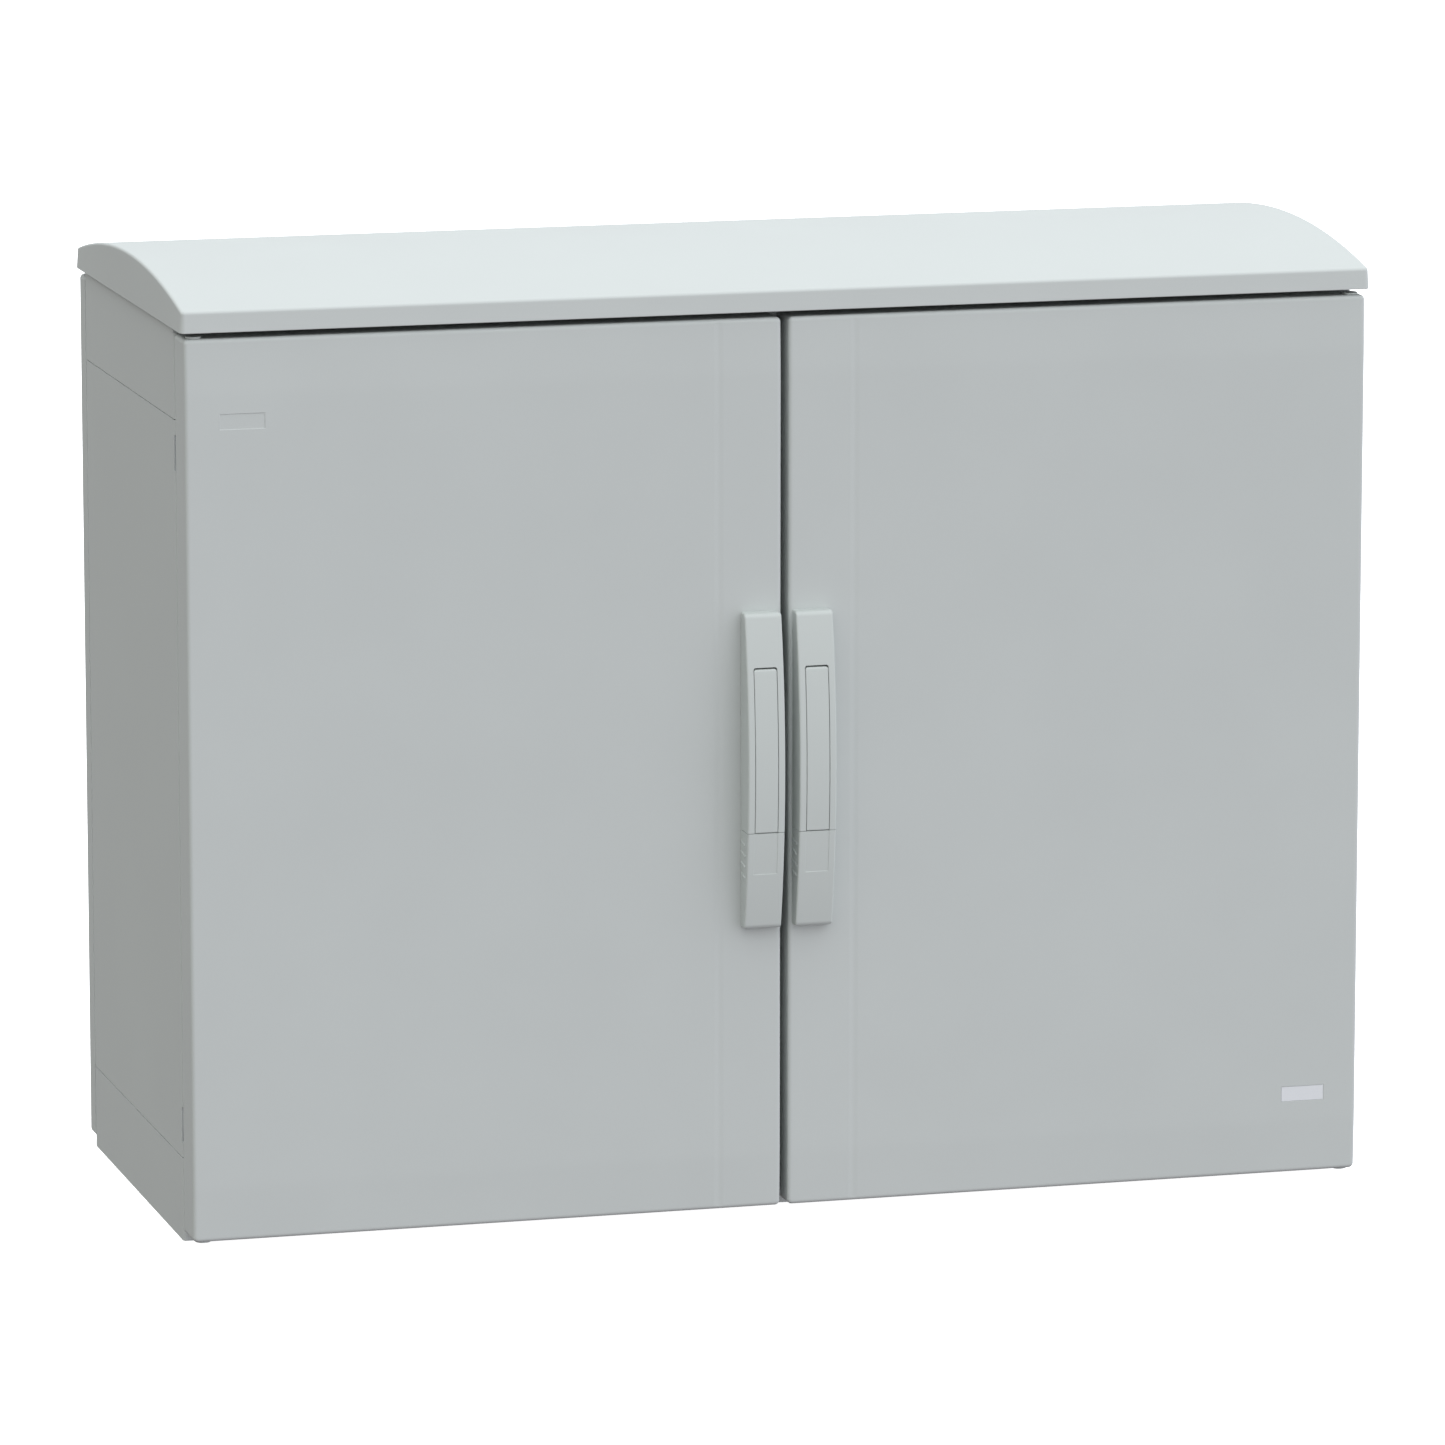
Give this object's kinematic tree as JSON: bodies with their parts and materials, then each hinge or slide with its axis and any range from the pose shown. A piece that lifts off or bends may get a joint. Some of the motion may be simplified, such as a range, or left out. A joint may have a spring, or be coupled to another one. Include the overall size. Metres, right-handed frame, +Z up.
{
  "type": "outdoor electrical cabinet",
  "caption": "Free-standing two-door outdoor cabinet in grey moulded polyester, with a curved canopy roof, bowed handles, key-operated locking rods and an open base for cables.",
  "frame": {"origin": "centre of the base frame on its underside, which is the centre of the four ground bolts", "axes": "+Z up, -Y out of the doors, +X to the right seen from the front"},
  "size_m": [1.0068, 0.4433, 0.7955],
  "materials": {
    "moulded_polyester": "moulded glass-fibre polyester, light grey, fine matt grain",
    "handle_polyamide": "injection-moulded polyamide, light grey, satin",
    "foam_rubber": "foamed rubber strip, black",
    "black_polyamide": "moulded black plastic",
    "zinc_plated_steel": "bright zinc plating",
    "brass": "turned brass",
    "label_film": "smooth pale film, blank"
  },
  "bodies": {
    "cabinet": {"base_frame": "moulded_polyester", "top_frame": "moulded_polyester", "left_side_panel": "moulded_polyester", "right_side_panel": "moulded_polyester", "rear_panel": "moulded_polyester", "centre_post": "moulded_polyester", "canopy": "moulded_polyester", "canopy_screws": "zinc_plated_steel", "frame_bolts": "zinc_plated_steel", "post_bolts": "zinc_plated_steel", "rear_panel_screws": "zinc_plated_steel", "rear_inserts": "brass", "left_hinge_brackets": "zinc_plated_steel", "right_hinge_brackets": "zinc_plated_steel", "left_hinge_screws": "zinc_plated_steel", "right_hinge_screws": "zinc_plated_steel", "rod_keepers": "zinc_plated_steel", "keeper_screws": "zinc_plated_steel"},
    "left_door": {"left_door": "moulded_polyester", "left_door_seal": "foam_rubber", "left_hinge_pins": "handle_polyamide", "left_handle_housing": "handle_polyamide", "left_handle_screws": "zinc_plated_steel", "left_lever_pin": "zinc_plated_steel", "left_rod_guides": "black_polyamide"},
    "left_lever": {"left_pull_lever": "handle_polyamide"},
    "left_cover": {"left_lock_cover": "handle_polyamide"},
    "left_lock": {"left_lock_insert": "zinc_plated_steel", "left_lock_cam": "zinc_plated_steel"},
    "left_upper_rod": {"left_upper_rod": "zinc_plated_steel"},
    "left_lower_rod": {"left_lower_rod": "zinc_plated_steel"},
    "right_door": {"right_door": "moulded_polyester", "right_door_seal": "foam_rubber", "right_hinge_pins": "handle_polyamide", "right_handle_housing": "handle_polyamide", "right_handle_screws": "zinc_plated_steel", "right_lever_pin": "zinc_plated_steel", "right_rod_guides": "black_polyamide", "label_plate": "label_film"},
    "right_lever": {"right_pull_lever": "handle_polyamide"},
    "right_cover": {"right_lock_cover": "handle_polyamide"},
    "right_lock": {"right_lock_insert": "zinc_plated_steel", "right_lock_cam": "zinc_plated_steel"},
    "right_upper_rod": {"right_upper_rod": "zinc_plated_steel"},
    "right_lower_rod": {"right_lower_rod": "zinc_plated_steel"}
  },
  "joints": [
    {"name": "left_door_hinge", "type": "hinge", "parent": "cabinet", "child": "left_door", "pos_m": [-0.49, -0.207, 0.375], "axis": [0, 0, -1], "range_deg": [0, 100]},
    {"name": "left_lever_fold", "type": "hinge", "parent": "left_door", "child": "left_lever", "pos_m": [-0.0219, -0.2345, 0.4584], "axis": [-1, 0, 0], "range_deg": [0, 50]},
    {"name": "left_cover_slide", "type": "slide", "parent": "left_door", "child": "left_cover", "axis": [0, 0, -1], "range_m": [0, 0.042]},
    {"name": "left_lock_turn", "type": "hinge", "parent": "left_door", "child": "left_lock", "pos_m": [-0.0219, -0.2185, 0.3049], "axis": [0, 1, 0], "range_deg": [0, 90]},
    {"name": "left_upper_rod_slide", "type": "slide", "parent": "left_door", "child": "left_upper_rod", "axis": [0, 0, 1], "range_m": [0, 0.0099]},
    {"name": "left_lower_rod_slide", "type": "slide", "parent": "left_door", "child": "left_lower_rod", "axis": [0, 0, -1], "range_m": [0, 0.0099]},
    {"name": "right_door_hinge", "type": "hinge", "parent": "cabinet", "child": "right_door", "pos_m": [0.49, -0.207, 0.375], "axis": [0, 0, 1], "range_deg": [0, 100]},
    {"name": "right_lever_fold", "type": "hinge", "parent": "right_door", "child": "right_lever", "pos_m": [0.0219, -0.2345, 0.4584], "axis": [-1, 0, 0], "range_deg": [0, 50]},
    {"name": "right_cover_slide", "type": "slide", "parent": "right_door", "child": "right_cover", "axis": [0, 0, -1], "range_m": [0, 0.042]},
    {"name": "right_lock_turn", "type": "hinge", "parent": "right_door", "child": "right_lock", "pos_m": [0.0219, -0.2185, 0.3049], "axis": [0, -1, 0], "range_deg": [0, 90]},
    {"name": "right_upper_rod_slide", "type": "slide", "parent": "right_door", "child": "right_upper_rod", "axis": [0, 0, 1], "range_m": [0, 0.0099]},
    {"name": "right_lower_rod_slide", "type": "slide", "parent": "right_door", "child": "right_lower_rod", "axis": [0, 0, -1], "range_m": [0, 0.0099]}
  ],
  "couplings": [
    {"joint": "left_lock_turn", "follows": "left_upper_rod_slide", "rad_per_m": 158.66},
    {"joint": "left_lower_rod_slide", "follows": "left_upper_rod_slide", "ratio": 1},
    {"joint": "right_lock_turn", "follows": "right_upper_rod_slide", "rad_per_m": 158.66},
    {"joint": "right_lower_rod_slide", "follows": "right_upper_rod_slide", "ratio": 1}
  ]
}
